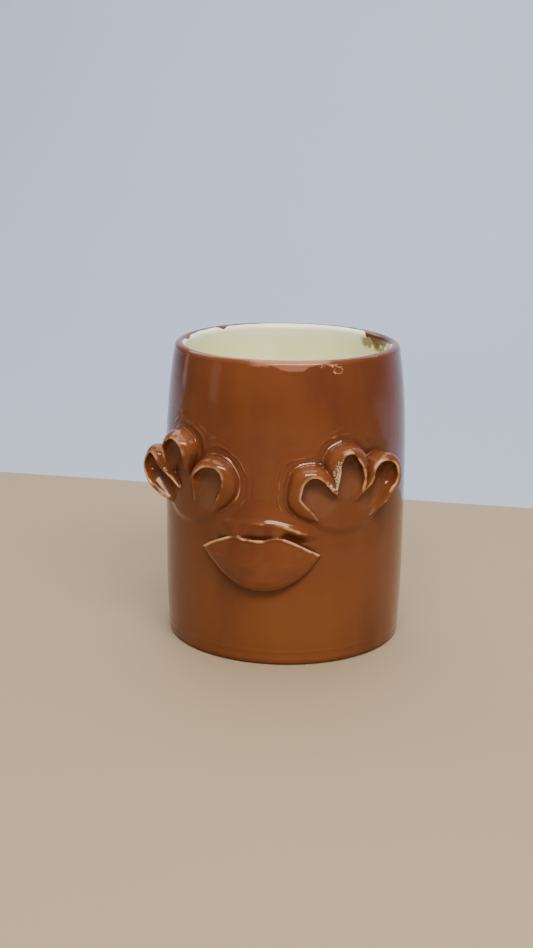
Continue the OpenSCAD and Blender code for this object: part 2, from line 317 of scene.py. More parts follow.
class Relief:
    """A stretch of the wall with clay on it. field is the distance to the clay, negative in it."""
    LET_IN = 0.8  # how deep the piece is let into the wall
    CREASE = 0.8  # fillet where lumps of clay meet
    CARVED = 0.1  # rounding where a hollow is cut
    SOFTEN = 0.27  # rounding that the glaze gives every edge
    EDGE_BLUR = 0.55  # an edge this sharp thins the glaze
    POOL_BLUR = 1.9  # a crease this wide fills with it
    DIP = 0.05  # its border is lowered by this and its feather, over FADE mm
    FADE = 6.0

    def __init__(self, u_span, z_span, w_top, feather, border):
        self.low = np.array([u_span[0], z_span[0], -self.LET_IN - 3 * VOXEL])
        spans = zip(self.low, (u_span[1], z_span[1], w_top))
        axes = [np.arange(int((b - a) / VOXEL) + 1) * VOXEL + a for a, b in spans]
        self.u, self.z = np.meshgrid(axes[0], axes[1], indexing="ij")
        self.w = axes[2]
        self.feather = feather  # how proud of the wall its flat starts out
        self.swell = np.full(self.u.shape, feather)
        self.breaks_and_highlights = np.ones(self.u.shape)  # how readily the glaze breaks to gold on an edge, raised in places to paint highlight lines
        self.dry_and_glint = np.zeros(self.u.shape)  # where the glaze has all but run off, with a painted highlight there
        self.matt = np.zeros(self.u.shape)  # where it has dried dull
        self.rim = signed_outline(border, self.u, self.z)
        self.field = None

    def start(self):
        """Makes the wall and its swellings into the field."""
        self.swell = self.swell - (self.feather + self.DIP) * ease(1 + self.rim / self.FADE)
        du, dz = np.gradient(self.swell, VOXEL)
        lean = np.sqrt(1 + du ** 2 + dz ** 2)[..., None]
        self.field = ((self.w - self.swell[..., None]) / lean).astype(np.float32)

    def add(self, near, d, corners, crease=CREASE):
        """Joins a lump on: its section in (d, w) at each column that near picks."""
        lump = section_distance(d[near], self.w, corners)
        self.field[near] = smooth_min(self.field[near], lump, crease)

    def carve(self, near, d, corners):
        """Cuts a hollow out, given in the same way."""
        hollow = section_distance(d[near], self.w, corners)
        self.field[near] = smooth_max(self.field[near], -hollow, self.CARVED)

    def build(self, name):
        """Meshes it as a closed piece that ends at its border."""
        soft = blur(self.field, self.SOFTEN)
        solid = np.maximum(np.maximum(soft, -self.LET_IN - self.w), self.rim[..., None])
        solid = solid.astype(np.float32)
        vdb = openvdb.FloatGrid()
        vdb.copyFromArray(solid / VOXEL)
        points, quads = vdb.convertToQuads(isovalue=0.0)
        points, quads = np.asarray(points, float), np.asarray(quads, np.int32)
        slopes = np.gradient(soft)
        at_rim = sample_flat(self.rim, points)
        free = (at_rim < -1.5 * VOXEL) & (points[:, 2] * VOXEL + self.low[2] > 1.5 * VOXEL - self.LET_IN)
        for _ in range(3):  # slides the free vertices onto the soft surface
            g = np.stack([sample(c, points) for c in slopes], 1)
            size = np.maximum((g ** 2).sum(1), 1e-6)
            step = np.clip(sample(soft, points) / size, -0.4 / np.sqrt(size), 0.4 / np.sqrt(size))
            points -= (free * step)[:, None] * g
        place = points * VOXEL + self.low
        obj = make_object(name, on_wall(*place.T), quads)
        normals = self.normals(place, np.stack([sample(c, points) for c in slopes], 1))
        cut = ~free & (place[:, 2] < -0.25)
        flat = np.empty(len(points) * 3, np.float32)
        obj.data.vertices.foreach_get("normal", flat)
        flat = flat.reshape(-1, 3)
        if (np.einsum("ij,ij->i", flat, normals)[free]).mean() < 0:
            obj.data.flip_normals()
            flat = -flat
        normals[cut] = flat[cut]
        obj.data.normals_split_custom_set_from_vertices(normals)
        self.paint(obj.data, points, soft, at_rim)
        return obj

    def paint(self, mesh, points, soft, at_rim):
        """Writes what the glaze's material reads at each vertex."""
        w = points[:, 2] * VOXEL + self.low[2]
        live = ease((-at_rim - 0.4) / 2.5) * (w > -0.2)
        edge = sample(blur(self.field, self.EDGE_BLUR), points) - sample(soft, points)
        pool = sample(blur(self.field, self.POOL_BLUR), points) - sample(soft, points)
        breaks_and_highlights, dry_and_glint, matt = (sample_flat(a, points) for a in (self.breaks_and_highlights, self.dry_and_glint, self.matt))
        dry_and_glint = dry_and_glint * ease((w - 2.5) / 1.5) * ease((edge + 0.05) / 0.10)
        layers = {"edge": edge * breaks_and_highlights, "pool": pool, "dry_and_glint": dry_and_glint, "matt": matt}
        for label, values in layers.items():
            attribute = mesh.attributes.new(label, "FLOAT", "POINT")
            attribute.data.foreach_set("value", (values * live).astype(np.float32))

    @staticmethod
    def normals(place, slope):
        """Turns slopes on the unrolled wall into normals on the thrown pot."""
        here = thrown(on_wall(*place.T))
        along = [thrown(on_wall(*(place + step).T)) - here for step in 0.01 * np.eye(3)]
        n = (slope[:, :1] * np.cross(along[1], along[2]) + slope[:, 1:2] * np.cross(along[2], along[0])
             + slope[:, 2:] * np.cross(along[0], along[1]))
        return n / np.maximum(np.linalg.norm(n, axis=1), 1e-12)[:, None]


# ------------------------------ the curled petals of an eye

class Petal:
    """A hooded cup of clay. Each row goes round its middle: the angle, the crest's radius and height, the
    radius of its foot, and how far the outside leans out past its foot. floor is the hollow's height off
    the wall at the middle, climb its slope along u and z, rim the thickness of its edge, and crown how
    high up the outside bulges."""
    UNDERCUT = 0.22  # how much of the clay behind the rim the hollow reaches into
    STEEP = 2.6  # the power of the hollow's section

    def __init__(self, node, shift, rows, floor, climb=(0.0, 0.0), rim=0.8, crown=0.8):
        self.middle = anchor(node) + shift
        self.rows = [tuple(row) + (0.0,) * (5 - len(row)) for row in rows]
        self.floor = floor
        self.climb = climb
        self.rim = rim
        self.crown = crown

    def lay_out(self, relief):
        """Works out its measures at each column of the relief's grid."""
        du, dz = relief.u - self.middle[0], relief.z - self.middle[1]
        self.rho = np.hypot(du, dz)
        theta = np.arctan2(dz, du)
        self.crest, self.height, self.foot, self.lean = around(self.rows, theta)
        turn = np.radians(1.5)
        slope = (around(self.rows, theta + turn)[0] - around(self.rows, theta - turn)[0]) / (2 * turn)
        self.slant = np.clip(np.hypot(1, slope / self.crest), 1, 3)  # how far the crest runs outwards
        self.lean = np.maximum(self.lean, 0)
        self.near = self.rho < np.maximum(self.foot, self.crest) + self.lean + 3.5
        self.climb_w = self.floor + du * self.climb[0] + dz * self.climb[1]
        self.outside = self.rho - np.maximum(self.foot, self.crest + 0.8 * self.rim)
        self.across = (self.rho - self.crest) / self.slant

    def dome(self, relief):
        """Adds the whole lump: a curve from its foot, out over the bulge, to the crest."""
        n = self.near
        middle, height = -self.crest[n] / self.slant[n] - 1, self.height[n]
        foot, lean = (self.foot - self.crest)[n] / self.slant[n], self.lean[n] / self.slant[n]
        crest = self.rim / 2
        bulge_r, bulge_w = np.maximum(foot, crest + 0.4) + lean, height * self.crown
        outside = []
        for t in np.linspace(0, 1, 7):
            a, b, c = (1 - t) ** 2, 2 * t * (1 - t), t ** 2
            outside.append((a * foot + b * bulge_r + c * crest, b * bulge_w + c * height))
        relief.add(n, self.across, [(middle, -1.0), (foot, -1.0)] + outside + [(middle, height)])

    def pad(self):
        """The floor of the hollow, run out through its opening."""
        return np.maximum(self.climb_w, 0) * ease((self.crest + 1.0 - self.rho) / 5.0)

    def hollow(self, relief):
        """Carves the hollow, which reaches in behind the rim where there is clay enough."""
        n = self.near
        bed = smooth_max(self.climb_w, relief.swell + 0.05, 0.5)[n]
        height, radius = self.height[n], self.crest[n] / self.slant[n]
        depth = np.maximum(height - bed, 0.05)
        body = np.maximum(self.foot + self.lean - self.crest, 0.0)[n] / self.slant[n]
        cut = self.UNDERCUT * np.minimum(body, 4.0) * np.clip((depth - 1.5) / 2.5, 0, 1)
        bowl = []
        for out in (0.0, 0.3, 0.55, 0.74, 0.87, 0.95, 0.985, 1.0):
            rise = 1 - (1 - out ** self.STEEP) ** (1 / self.STEEP)
            across = -self.rim / 2 - radius * (1 - out) + cut * math.sin(math.pi * rise)
            bowl.append((across, bed + depth * rise))
        open_top = [(-self.rim / 2 - 0.1, height + 5), (-radius - 1, height + 5), (-radius - 1, bed)]
        relief.carve(n, self.across, bowl + open_top)


RIGHT_PETALS = [
    Petal("right_eye_inner_curl", (0.7, 1.0), [
        (-76, 12.3, 1.5, 13.5), (-84, 10.1, 2.5, 12.8), (-99, 7.6, 3.5, 12.0), (-120, 6.1, 4.0, 11.4),
        (-142, 5.4, 4.5, 10.6), (-163, 4.3, 5.0, 9.4), (170, 3.9, 5.3, 8.4), (136, 4.3, 5.5, 9.0),
        (92, 5.1, 5.6, 8.5), (46, 4.7, 5.5, 8.5), (11, 5.4, 5.0, 8.5), (-15, 8.6, 3.6, 9.8),
        (-27, 12.0, 0.2, 12.5), (-45, 13.5, -1.2, 14.0), (-64, 13.5, -0.8, 14.0)], floor=0.9),
    Petal("right_eye_middle_curl", (1.1, -0.4), [
        (-111, 10.4, 3.5, 11.0), (-128, 6.6, 5.5, 8.4), (-148, 4.5, 6.0, 7.8), (172, 3.8, 6.5, 8.0),
        (139, 4.6, 7.0, 8.2), (110, 6.0, 7.4, 8.1), (85, 5.8, 7.5, 8.6), (61, 4.3, 7.3, 8.8),
        (15, 4.0, 7.0, 9.0), (-18, 5.4, 6.5, 8.0), (-42, 8.3, 5.5, 9.8), (-58, 11.2, 4.0, 12.3),
        (-71, 13.8, 2.0, 14.6), (-83, 14.0, -0.8, 14.5), (-100, 12.5, -0.6, 13.0)],
        floor=1.3, climb=(0.0, 0.05)),
    Petal("right_eye_outer_curl", (0.0, 0.8), [
        (-146, 9.6, 3.2, 10.2), (-158, 6.9, 4.8, 8.2), (177, 5.2, 6.0, 7.0), (150, 6.2, 6.7, 7.8),
        (113, 7.7, 8.0, 8.8, 0.6), (85, 6.7, 8.7, 8.8, 2.4), (62, 5.5, 9.0, 7.0, 4.0),
        (40, 4.2, 9.3, 5.0, 5.6), (5, 3.3, 9.3, 4.0, 6.0), (-39, 3.3, 9.0, 3.5, 6.0),
        (-72, 4.3, 8.3, 4.5, 4.2), (-85, 6.3, 7.3, 6.0, 3.4), (-92, 8.6, 6.0, 8.2, 2.4),
        (-98, 11.0, 4.5, 10.8, 1.6), (-104, 14.0, 2.2, 14.0, 0.8), (-115, 15.0, -1.0, 15.5),
        (-134, 13.0, -0.8, 13.5)], floor=2.6, climb=(0.13, 0.16), rim=0.9, crown=0.88),
]

LEFT_PETALS = [
    Petal("left_eye_inner_curl", (-0.1, 0.8), [
        (-89, 10.3, 1.5, 12.4), (-75, 7.7, 2.5, 10.9), (-48, 5.7, 3.5, 10.2), (-10, 5.2, 4.3, 10.2),
        (25, 6.3, 4.9, 10.2), (57, 7.2, 5.4, 10.1), (92, 6.5, 5.6, 9.8), (131, 5.9, 5.4, 9.3),
        (170, 6.4, 5.1, 8.8), (-168, 6.5, 4.5, 8.4), (-150, 8.0, 3.5, 9.4), (-135, 10.8, 2.0, 12.0),
        (-122, 13.0, -1.0, 13.5), (-102, 12.5, -1.0, 13.0)], floor=0.9),
    Petal("left_eye_middle_curl", (-5.5, -0.7), [
        (-129, 9.2, 4.4, 9.9), (-142, 7.7, 5.6, 8.8), (-155, 6.2, 6.5, 7.6), (180, 4.6, 7.0, 6.6),
        (140, 3.4, 7.5, 7.5), (90, 4.3, 7.8, 8.0), (55, 6.2, 8.0, 8.6), (29, 7.0, 7.7, 9.4),
        (5, 6.8, 6.9, 9.6), (-13, 6.7, 6.0, 9.4), (-33, 7.5, 5.0, 9.6), (-51, 9.1, 3.5, 10.6),
        (-64, 11.5, 0.8, 12.5), (-88, 12.5, -1.0, 13.0), (-112, 12.0, -0.8, 12.5)],
        floor=1.5, climb=(0.0, 0.06)),
    Petal("left_eye_outer_curl", (-1.7, 0.9), [
        (-30, 11.2, 3.0, 12.0), (-24, 7.2, 4.5, 8.6), (-9, 3.9, 6.0, 6.2), (34, 3.6, 7.5, 6.2),
        (64, 4.7, 8.5, 7.0, 0.6), (92, 5.0, 9.0, 7.0, 2.6), (124, 4.1, 9.5, 5.2, 4.6),
        (171, 3.7, 10.0, 3.4, 4.4), (-148, 5.0, 10.0, 4.0, 2.6), (-115, 5.3, 9.8, 4.4, 2.4),
        (-93, 6.9, 9.0, 6.2, 2.0), (-84, 8.7, 7.5, 8.4, 1.4), (-77, 11.0, 5.4, 11.0, 0.8),
        (-71, 13.5, 2.6, 14.0), (-58, 14.5, -1.0, 15.0), (-42, 12.8, -0.6, 13.3)],
        floor=2.8, climb=(-0.13, 0.10), crown=0.88),
]


EYE_U = (3.3, 61.5)  # an eye's border, round the wall from the middle of the face
EYE_Z = 70.0  # its middle
EYE_HALF_Z = 23.5
MARGIN = 1.0  # of the grid round the border
EYE_FEATHER = 0.03  # how proud of the wall an eye's flat starts out
WELTS = [(0.7, 0.78, 0.40), (2.0, 0.34, 0.36), (3.5, 0.52, 0.62), (5.2, 0.22, 0.6)]  # offset, height, width
DRY_GLINT_RIDGE = [(24.2, 71.0), (26.2, 69.0), (26.5, 72.0), (26.9, 76.0), (28.0, 79.2)]  # between two petals
STROKES = [[(26.6, 89.4), (28.6, 90.1), (30.9, 91.3)], [(26.2, 87.9), (27.4, 88.3), (28.9, 89.2)]]
STROKE = (0.30, 0.36)  # height and width of a tool mark
PIT = (42.1, 84.2)  # a burst bubble in the glaze


def rounded_box(middle, half, power=3.2, count=96):
    """An outline between an ellipse (power 2) and a box."""
    a = np.linspace(0, 2 * math.pi, count, endpoint=False)
    c, s = np.cos(a), np.sin(a)
    reach = (np.abs(c) ** power + np.abs(s) ** power) ** (-1 / power)
    return np.stack([middle[0] + half[0] * reach * c, middle[1] + half[1] * reach * s], 1)


def palm_swell(relief, node, side):
    """The low pad that the petals grow from, with a soft step along its lower edge."""
    middle = anchor(node)
    du = (relief.u - middle[0] * 1.02) / 16.5
    dz = (relief.z - middle[1] - 1.5 + side * du * 1.0) / 10.5
    return 1.25 * ease((1.15 - np.sqrt(du ** 2 + dz ** 2)) / 0.42)


def right_eye_marks(relief):
    """What only the right eye has: two tool marks, a burst bubble and the pale ridge, which is thin glaze
    with a painted highlight.
    """
    for stroke in STROKES:
        off, _ = nearest_on(curve_through(stroke), relief.u, relief.z)
        relief.swell = relief.swell + STROKE[0] * bell(off, STROKE[1])
    relief.swell = relief.swell - 0.7 * bell(np.hypot(relief.u - PIT[0], relief.z - PIT[1]), 0.75)
    off, _ = nearest_on(curve_through(DRY_GLINT_RIDGE), relief.u, relief.z)
    relief.dry_and_glint = bell(off, 1.9)


def make_eye(name, petals, palm, side):
    """An eye: three petals on their palm, with the welts of clay pushed up around them."""
    low, high = sorted(side * u for u in EYE_U)
    border = rounded_box(((low + high) / 2, EYE_Z), ((high - low) / 2, EYE_HALF_Z))
    reach = EYE_HALF_Z + MARGIN
    spans = (low - MARGIN, high + MARGIN), (EYE_Z - reach, EYE_Z + reach)
    relief = Relief(*spans, 12.0, EYE_FEATHER, border)
    pad = palm_swell(relief, palm, side)
    relief.swell = relief.swell + pad
    for petal in petals:
        petal.lay_out(relief)
        relief.swell = smooth_max(relief.swell, petal.pad(), 0.6)  # the three lift the flat by 0.27 mm
        relief.matt = np.maximum(relief.matt, ease((petal.crest - petal.rho + 0.3) / 3.5))
    outside = np.min([petal.outside for petal in petals], axis=0)
    inward = ease((42.5 - 2.5 * side - np.abs(relief.u)) / 9)
    inward = inward * ease((relief.z - 54) / 5) * ease(1 - pad / 0.7)
    waver = 0.25 * np.sin(relief.u * 0.31 + relief.z * 0.23) + 0.12 * np.sin(relief.z * 0.9)
    for offset, height, width in WELTS:
        relief.swell = relief.swell + inward * height * bell(outside - offset - waver * offset / 2, width)
    relief.breaks_and_highlights = 1 - 0.35 * ease((np.abs(relief.u) - 52) / 4)
    # the welts' crests break to gold, raised further to paint highlight lines along them
    relief.breaks_and_highlights += 1.3 * inward * bell(outside - 1.3, 1.5)
    if side > 0:
        right_eye_marks(relief)
    relief.start()
    for petal in petals:
        petal.dome(relief)
    for petal in petals:
        petal.hollow(relief)
    return relief.build(name)


# ------------------------------ the mouth and the ridge above it

MOUTH_UPPER = [(-24.0, 43.9), (-19.8, 46.4), (-14.6, 48.9), (-10.4, 50.6), (-7.4, 51.0),
               (-4.8, 50.4), (-1.8, 50.2), (1.8, 50.4), (5.2, 51.3), (8.2, 51.2), (12.6, 49.4),
               (17.6, 46.6), (22.8, 43.8)]
MOUTH_LOWER = [(22.8, 43.8), (19.6, 40.0), (14.8, 35.4), (8.8, 31.8), (2.0, 30.2), (-5.0, 31.0),
               (-11.6, 34.2), (-18.2, 39.2), (-24.0, 43.9)]
MOUTH_T = 4.7  # its thickness in the middle
MOUTH_FEATHER = 0.045
# The ridge over the mouth: u, z and height. The knobs: u, z, spread and height.
RIDGE = [(-15.0, 55.0, 0.2), (-11.0, 55.4, 0.7), (-7.0, 55.8, 1.3), (-3.5, 56.1, 1.9), (2.0, 56.3, 2.3),
         (6.5, 56.1, 2.4), (11.4, 54.6, 2.3), (15.6, 52.7, 1.8), (20.5, 51.6, 0.5)]
KNOBS = [(-8.4, 51.6, 3.2, 1.7), (6.6, 52.2, 2.2, 1.4), (-12.5, 50.2, 3.0, 0.8)]


def make_mouth(name):
    """The leaf-shaped mouth, with the ridge, the knobs and the foot of the nose over it."""
    border = rounded_box((0, 44.5), (28.5, 22.3), 2.8)
    relief = Relief((-30, 30), (21, 68), 6.5, MOUTH_FEATHER, border)
    u, z = relief.u, relief.z
    ridge = curve_through(RIDGE)
    off, height = nearest_on(ridge, u, z)
    crest_z = np.interp(u, ridge[:, 0], ridge[:, 1])
    above = z > crest_z
    ridge_shape = np.where(above, 0.68 * bell(off, 4.8) + 0.32 * bell(off, 0.95), bell(off, 2.3))
    nose = 0.35 * bell(u - 0.8, 5.0 + 4.5 * ease((66 - z) / 9))
    nose = nose * ease((z - 55) / 3) * ease((66.5 - z) / 9)
    step = 2.3 * bell(u + 1, 11.5) * bell(z - 52, 3.4)
    relief.swell = relief.swell + height[..., 0] * ridge_shape + nose + step
    for ku, kz, spread, h in KNOBS:
        relief.swell = relief.swell + h * bell(np.hypot(u - ku, z - kz), spread)
    relief.start()
    upper, lower = curve_through(MOUTH_UPPER), curve_through(MOUTH_LOWER)
    outline = np.vstack([upper[:-1], lower[:-1]])
    d = signed_outline(outline, u, z)
    to_upper, _ = nearest_on(upper, u, z)
    to_lower, _ = nearest_on(lower, u, z)
    near = d < 3.5
    top = ease(0.5 + 0.35 * (to_lower - to_upper))
    corner = ease((np.abs(u) - 18.5) / 3)
    relief.breaks_and_highlights = 0.05 + 1.25 * ease(2.2 * top - 1.1) * (1 + 0.4 * corner)
    # painted highlight: a pale line along the ridge's crest
    relief.breaks_and_highlights += 1.1 * bell(off - 0.2, 0.8) * ease((u + 7) / 4) * ease((20 - u) / 6)
    top = top[near]
    dimples = 1 + 0.035 * np.sin(0.42 * u + 0.5) * np.sin(0.55 * z + 1) + 0.02 * np.sin(0.9 * u - 0.5 * z)
    thick = (MOUTH_T * dimples * (1 - 0.66 * np.clip(np.abs(u) / 22.6, 0, 1) ** 2.4))[near]

    def between(low, high):
        return low + (high - low) * top

    rounded_to_sharp = [  # across and up, each at the lower and at the upper edge
        ((-0.7, -0.8), (0.14, 0.35)), ((0.0, 0.0), (0.33, 0.72)), ((0.05, 0.15), (0.50, 0.9)),
        ((-0.6, -0.35), (0.70, 0.9)), ((-2.0, -1.6), (0.90, 0.78)), ((-4.2, -4.2), (1.02, 0.88))]
    face = [(between(*across), thick * between(*up)) for across, up in rounded_to_sharp]
    relief.add(near, d, [(-30.0, -1.0), (between(-2.2, -1.4), -1.0), (between(-2.2, -1.3), 0.0)]
               + face + [(-8.5, thick * 1.07), (-30.0, thick * 1.07)], crease=0.45)
    return relief.build(name)


# ------------------------------ the turned pieces

CLAY_GAP = 0.03  # the clay lies this far under the glaze
FLOOR_R = 33.0  # of the floor inside, as far as the fillet
FLOOR_ROWS = 60
SINK = 0.14  # how far the cream dips where it runs on under the brown
PROUD = 0.13  # how far the brown stands over the cream inside the lip
STAIN = math.radians(130)  # the brown has run down inside here
HEM = 0.3  # where the brown ends, in a bead just clear of the floor
FOOT_RIDGES = [(5.3, 0.13, 0.45), (2.2, 0.12, 0.4)]  # height, how proud, width
BLISTER = (math.radians(36), 111.9)  # a burst blister below the lip: bearing, height
# Where the brown runs farther down inside the lip, and where it stops short: degrees, width, mm.
RUNS = [(129, 6, 5.4), (118, 6, 3.4), (138, 2.4, 1.8), (106, 6, 1.0), (-128, 3.0, 1.5), (-90, 5, 1.0)]
GAPS = [(178, 38, 0.9), (-120, 16, 0.45)]


def lip_arc(offset, start, end, count):
    """Along the lip's half-round: angles in degrees past its crest, outside negative."""
    return arc((LIP_C, LIP_Z), LIP_R + offset, 90 + start, 90 + end, count)


def make_clay():
    """The stoneware cup: only its foot ring and its shallow recess show."""
    under = GLAZE_T + CLAY_GAP
    r = np.linspace(0, FOOT_IN - 1.6, FLOOR_ROWS)
    spiral_lines = 1.2 + 0.09 * np.sin(r * 2.4) + 0.05 * np.sin(r * 5.1 + 1)
    recess = np.stack([r, spiral_lines], 1)
    ring_step = [(FOOT_IN - 1.2, 1.1), (FOOT_IN - 0.5, 0.7), (FOOT_IN, 0.12), (FOOT_IN + 0.5, 0.0)]
    outside = np.vstack([recess, ring_step, line((FOOT_IN + 2, 0), (FOOT_OUT - 0.4, 0), 8),
                         [(FOOT_OUT, 0.06)], line((FOOT_OUT + 0.15, 0.3), (outer_fit(1.2) - under, 1.0), 4),
                         wall_line(outer_fit, -under, 1.3, LIP_Z, 2.0)])
    inside = np.vstack([lip_arc(-under, -88, 88, 16),
                        wall_line(inner_fit, under, LIP_Z, FLOOR_Z + FLOOR_FILLET, 2.0),
                        floor_curve(-under), line((30, FLOOR_Z - under), (0, FLOOR_Z - under), 12)])
    return turned("clay_foot", np.vstack([outside, inside]), closes=False)


def floor_curve(offset):
    """The inside fillet between the wall and the floor, from the wall down."""
    r = inner_fit(FLOOR_Z + FLOOR_FILLET) - FLOOR_FILLET
    return arc((r, FLOOR_Z + FLOOR_FILLET), FLOOR_FILLET - offset, -3, -90, 18)


def make_liner():
    """The cream glaze inside: it runs on under the brown where the two meet on the lip."""
    r = np.linspace(FLOOR_R, 0, FLOOR_ROWS)
    rings = 0.10 * np.sin(r * 1.15) * np.clip(r / 6, 0, 1) * np.clip((FLOOR_R - r) / 3, 0, 1)
    floor = np.stack([r, FLOOR_Z + rings + 0.5 * bell(r, 5)], 1)
    front = np.vstack([lip_arc(-SINK, -20, 34, 14), lip_arc(-SINK / 3, 42, 42, 1), lip_arc(0, 50, 88, 9),
                       wall_line(inner_fit, 0, LIP_Z, FLOOR_Z + FLOOR_FILLET, 1.5), floor_curve(0), floor])
    back = np.vstack([line((0, FLOOR_Z - GLAZE_T), (FLOOR_R, FLOOR_Z - GLAZE_T), 10),
                      floor_curve(-GLAZE_T)[::-1],
                      wall_line(inner_fit, GLAZE_T, FLOOR_Z + FLOOR_FILLET, LIP_Z, 4.0),
                      lip_arc(-GLAZE_T, 88, -20, 16)])
    return turned("cream_liner", np.vstack([back, front]), closes=False)


def brown_edge(bearing):
    """How far past the lip's crest the brown reaches, in mm of lip, at each bearing."""
    deg = np.degrees(bearing)

    def patch(middle, width, amount):
        return amount * bell((deg - middle + 180) % 360 - 180, width)

    edge = 1.15 + 0.16 * np.sin(3 * bearing + 1) + 0.10 * np.sin(7 * bearing)
    edge += 0.05 * np.sin(19 * bearing + 2)
    for run in RUNS:
        edge += patch(*run)
    edge *= 1 + 0.06 * np.sin(31 * bearing + 1)
    for gap in GAPS:
        edge -= patch(*gap)
    return np.maximum(edge, 0.25)


def make_coat():
    """The brown glaze, from a rolled bead at the foot, up the wall and over the lip to its edge."""
    bearings = np.linspace(-math.pi, math.pi, SEGMENTS, endpoint=False)
    edge = brown_edge(bearings)
    foot_r = outer_fit(1.2)
    bead = [(foot_r - GLAZE_T, HEM + 0.35), (foot_r - 0.3, HEM), (foot_r - 0.08, HEM + 0.05),
            (foot_r, HEM + 0.25)]
    wall = np.vstack([bead, wall_line(outer_fit, 0, HEM + 0.6, 8, 0.4),
                      wall_line(outer_fit, 0, 9, 107.6, 1.1), wall_line(outer_fit, 0, 108.2, LIP_Z, 0.4),
                      lip_arc(0, -88, 0, 26)[1:]])
    rows = [np.repeat(p[None], SEGMENTS, 0) for p in wall]
    for row in rows:
        off = np.hypot((bearings - BLISTER[0]) * LIP_C, row[:, 1] - BLISTER[1])
        row[:, 0] += 0.22 * bell(off - 1.5, 0.6) - 0.30 * bell(off, 0.8)
        for height, proud, width in FOOT_RIDGES:
            row[:, 0] += proud * bell(row[:, 1] - height, width)
    over_the_lip = [(share, 0.0) for share in np.linspace(0.05, 0.96, 22)]
    rolled_under = [(1.0, 0.05), (1.015, 0.16), (1.0, 0.3)]
    for share, lower in over_the_lip + rolled_under:  # share of the way to the edge, depth in mm
        run = edge * share
        angle = np.minimum(run / LIP_R, math.pi / 2)
        down = np.maximum(run - math.pi / 2 * LIP_R, 0)
        lower = lower - PROUD * ease((angle - 0.45) / 0.5)
        r = LIP_C - (LIP_R - lower) * np.sin(angle)
        z = LIP_Z + (LIP_R - lower) * np.cos(angle) - down
        r = np.where(down > 0, inner_fit(np.clip(z, 15, LIP_Z)) + lower, r)
        rows.append(np.stack([r, z], -1))
    back = np.vstack([lip_arc(-GLAZE_T, 0, -88, 14),
                      wall_line(outer_fit, -GLAZE_T, LIP_Z, GLAZE_LINE + 0.6, 4.0)])
    rows += [np.repeat(p[None], SEGMENTS, 0) for p in back]
    return turned("amber_coat", np.stack(rows), closes=True)


# ------------------------------ materials

class Nodes:
    """A small helper that wires a node material."""

    def __init__(self, name):
        self.material = bpy.data.materials.new(name)
        self.material.use_nodes = True
        self.tree = self.material.node_tree
        self.shader = next(n for n in self.tree.nodes if n.type == "BSDF_PRINCIPLED")
        self.place = self.node("ShaderNodeTexCoord").outputs["Object"]

    def node(self, kind, **settings):
        node = self.tree.nodes.new(kind)
        for key, value in settings.items():
            setattr(node, key, value)
        return node

    def link(self, source, target):
        self.tree.links.new(source, target)

    def feed(self, socket, value):
        if isinstance(value, bpy.types.NodeSocket):
            self.link(value, socket)
        else:
            socket.default_value = value

    def math(self, operation, a, b=0.0):
        node = self.node("ShaderNodeMath", operation=operation)
        self.feed(node.inputs[0], a)
        self.feed(node.inputs[1], b)
        return node.outputs[0]

    def times(self, a, b):
        return self.math("MULTIPLY", a, b)

    def away(self, value, middle):
        """How far value is from middle, whichever way."""
        return self.math("ABSOLUTE", self.math("SUBTRACT", value, middle))

    def length(self, a, b):
        return self.math("SQRT", self.math("ADD", self.times(a, a), self.times(b, b)))

    def noise(self, scale, detail=3.0, stretch=(1, 1, 1), distortion=0.0):
        mapping = self.node("ShaderNodeMapping")
        mapping.inputs["Scale"].default_value = stretch
        self.link(self.place, mapping.inputs["Vector"])
        node = self.node("ShaderNodeTexNoise")
        node.inputs["Scale"].default_value = scale
        node.inputs["Detail"].default_value = detail
        node.inputs["Distortion"].default_value = distortion
        self.link(mapping.outputs[0], node.inputs["Vector"])
        return node.outputs["Fac"]

    def ramp(self, value, low, high, start=0.0, end=1.0):
        """value from low..high to start..end, eased and held at the ends."""
        node = self.node("ShaderNodeMapRange", interpolation_type="SMOOTHSTEP")
        self.feed(node.inputs["Value"], value)
        for key, number in (("From Min", low), ("From Max", high), ("To Min", start), ("To Max", end)):
            node.inputs[key].default_value = number
        return node.outputs["Result"]

    def mix(self, share, a, b):
        node = self.node("ShaderNodeMix", data_type="RGBA")
        self.feed(node.inputs[0], share)
        for socket, colour in ((node.inputs[6], a), (node.inputs[7], b)):
            self.feed(socket, colour if isinstance(colour, bpy.types.NodeSocket) else (*colour, 1.0))
        return node.outputs[2]

    def attribute(self, name):
        return self.node("ShaderNodeAttribute", attribute_name=name).outputs["Fac"]

    def bump(self, height, distance, strength=1.0):
        node = self.node("ShaderNodeBump")
        node.inputs["Distance"].default_value = distance
        node.inputs["Strength"].default_value = strength
        self.link(height, node.inputs["Height"])
        self.link(node.outputs[0], self.shader.inputs["Normal"])

    def axis(self, name):
        split = self.node("ShaderNodeSeparateXYZ")
        self.link(self.place, split.inputs[0])
        return split.outputs[name]

    def bearing(self):
        """Radians round the mug from the middle of the face, + on a viewer's right."""
        return self.math("ARCTAN2", self.axis("X"), self.times(self.axis("Y"), -1.0))

    def radius_mm(self):
        """How far from the mug's axis, in mm."""
        return self.length(self.times(self.axis("X"), MM), self.times(self.axis("Y"), MM))

    def height_mm(self):
        return self.times(self.axis("Z"), MM)


